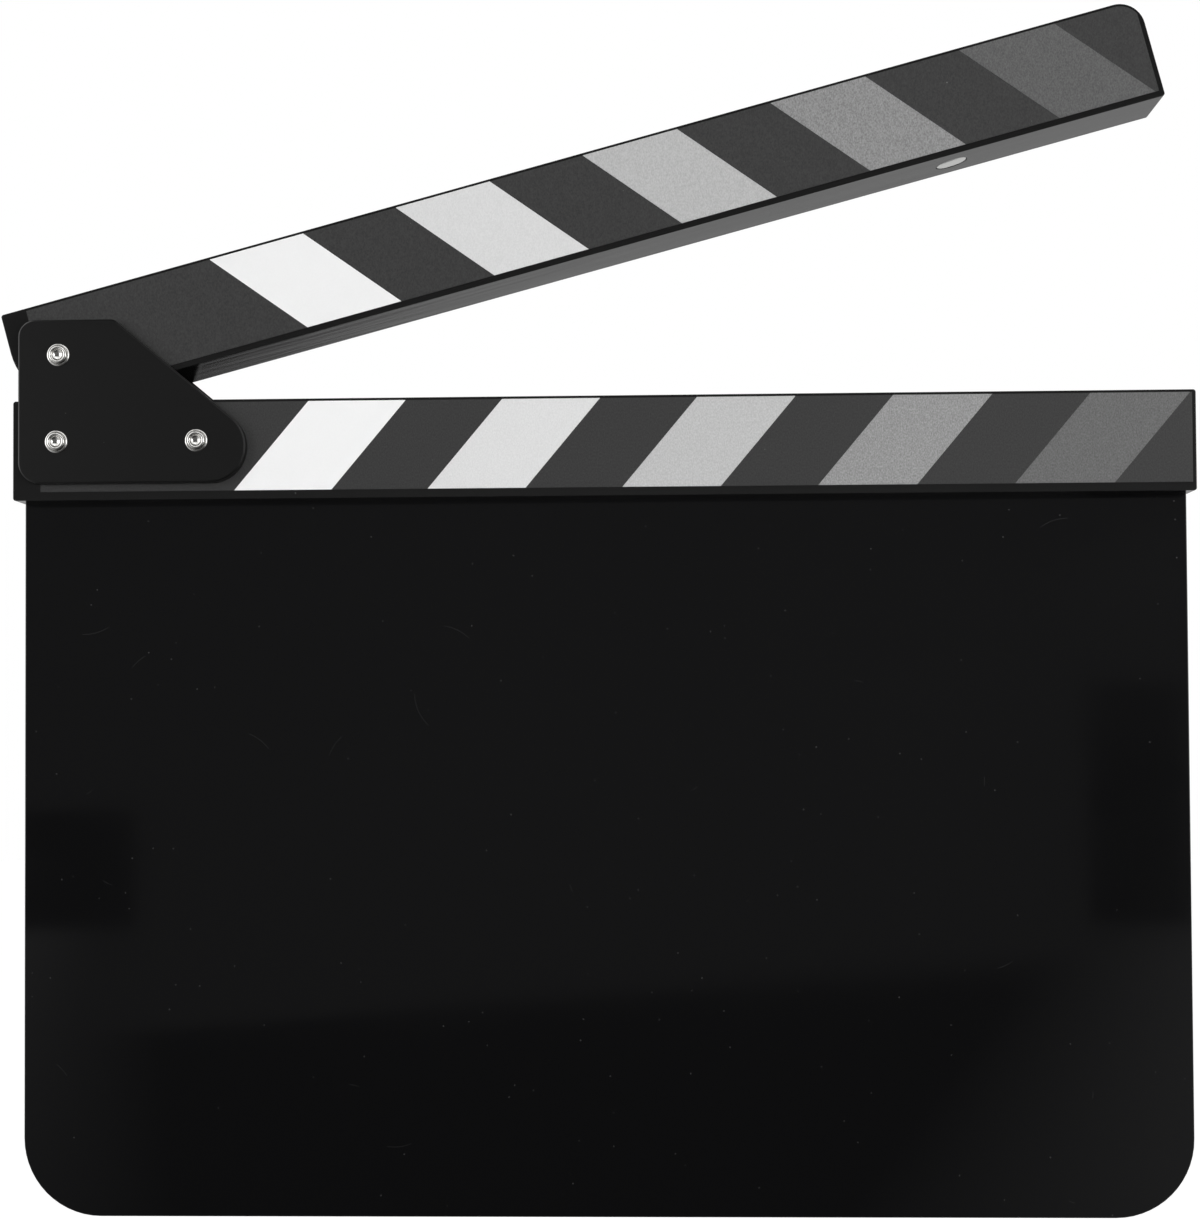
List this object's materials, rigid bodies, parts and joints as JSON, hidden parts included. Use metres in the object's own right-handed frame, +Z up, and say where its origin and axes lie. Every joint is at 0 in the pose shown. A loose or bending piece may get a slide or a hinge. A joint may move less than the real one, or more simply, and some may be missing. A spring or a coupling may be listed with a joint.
{
  "type": "clapperboard",
  "caption": "Clapperboard: a glossy black slate board let into a striped lower stick, with a striped clap stick hinged above it on riveted side plates.",
  "frame": {"origin": "middle of the slate board's bottom edge, halfway through its thickness", "axes": "+Z up from the bottom edge to the sticks, +X along the sticks away from the hinge, the striped front faces -Y"},
  "size_m": [0.3035, 0.0285, 0.3072],
  "materials": {
    "slate_acrylic": "glossy black acrylic sheet",
    "stick_paint": "satin black paint on hardwood",
    "plate_black": "satin black moulded plate",
    "label_grey": "printed dark grey vinyl film",
    "rivet_nickel": "polished nickel plate",
    "magnet_nickel": "nickel plate",
    "stripe_white": "printed vinyl",
    "stripe_pale_grey": "printed vinyl",
    "stripe_light_grey": "printed vinyl",
    "stripe_mid_grey": "printed vinyl",
    "stripe_dark_grey": "printed vinyl"
  },
  "bodies": {
    "slate": {"slate_board": "slate_acrylic", "lower_stick": "stick_paint", "lower_label_film": "label_grey", "lower_stripe_white": "stripe_white", "lower_stripe_pale_grey": "stripe_pale_grey", "lower_stripe_light_grey": "stripe_light_grey", "lower_stripe_mid_grey": "stripe_mid_grey", "lower_stripe_dark_grey": "stripe_dark_grey", "hinge_plate_front": "plate_black", "hinge_plate_rear": "plate_black", "pivot_rivet": "rivet_nickel", "hinge_rivets": "rivet_nickel", "rivet_washers": "rivet_nickel", "lower_magnet": "magnet_nickel"},
    "clapper": {"upper_stick": "stick_paint", "upper_label_film": "label_grey", "upper_stripe_white": "stripe_white", "upper_stripe_pale_grey": "stripe_pale_grey", "upper_stripe_light_grey": "stripe_light_grey", "upper_stripe_mid_grey": "stripe_mid_grey", "upper_stripe_dark_grey": "stripe_dark_grey", "upper_magnet": "magnet_nickel"}
  },
  "joints": [
    {"name": "clap_hinge", "type": "hinge", "parent": "slate", "child": "clapper", "pos_m": [-0.13755, 0, 0.2204], "axis": [0, -1, 0], "range_deg": [-14.91, 45.09]}
  ]
}
